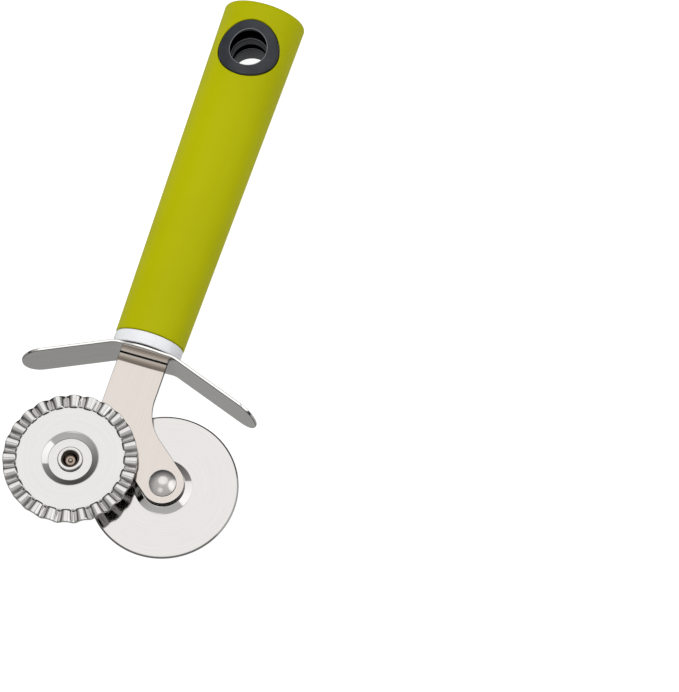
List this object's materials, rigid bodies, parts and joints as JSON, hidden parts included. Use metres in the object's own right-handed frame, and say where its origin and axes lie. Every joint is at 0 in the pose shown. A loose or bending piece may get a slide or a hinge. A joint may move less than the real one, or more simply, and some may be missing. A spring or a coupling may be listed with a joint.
{
  "type": "pastry cutter wheel",
  "caption": "Hand pastry cutter with a soft round handle, a bent finger guard and a forked plate that carries a plain cutting wheel and a fluted one.",
  "frame": {"origin": "middle of the bounding box's bottom face, with the tool lying flat, the side of the fluted wheel up", "axes": "+Y along the handle toward the hanging end, +Z out of the neck plate toward the fluted wheel, +X toward the plain wheel"},
  "size_m": [0.0844, 0.2, 0.0237],
  "materials": {
    "grip_green": "soft satin",
    "core_plastic": "moulded",
    "collar_white": "glossy",
    "gasket_rubber": "matt",
    "guard_steel": "brushed",
    "plate_steel": "satin",
    "pin_steel": "plain",
    "grommet_dark": "matt",
    "rivet_steel": "polished",
    "bush_bronze": "turned",
    "washer_nylon": "plain",
    "wheel_steel": "satin"
  },
  "bodies": {
    "handle": {"handle_grip": "grip_green", "handle_core_upper": "core_plastic", "handle_core_lower": "core_plastic", "handle_collar": "collar_white", "collar_gasket": "gasket_rubber", "finger_guard": "guard_steel", "neck_plate": "plate_steel", "tang_pin_front": "pin_steel", "tang_pin_rear": "pin_steel", "core_screw_front": "pin_steel", "core_screw_rear": "pin_steel", "hanging_grommet_upper": "grommet_dark", "hanging_grommet_lower": "grommet_dark", "plain_axle_rivet": "rivet_steel", "plain_axle_bush": "bush_bronze", "plain_spacer_washer": "washer_nylon", "fluted_axle_rivet": "rivet_steel", "fluted_axle_bush": "bush_bronze", "fluted_spacer_washer": "washer_nylon"},
    "plain_wheel": {"plain_wheel": "wheel_steel"},
    "fluted_wheel": {"fluted_wheel": "wheel_steel"}
  },
  "joints": [
    {"name": "plain_wheel_spin", "type": "hinge", "parent": "handle", "child": "plain_wheel", "pos_m": [0.01721, -0.075, 0.01186], "axis": [0, 0, 1], "continuous": true},
    {"name": "fluted_wheel_spin", "type": "hinge", "parent": "handle", "child": "fluted_wheel", "pos_m": [-0.01449, -0.0766, 0.01186], "axis": [0, 0, 1], "continuous": true}
  ]
}
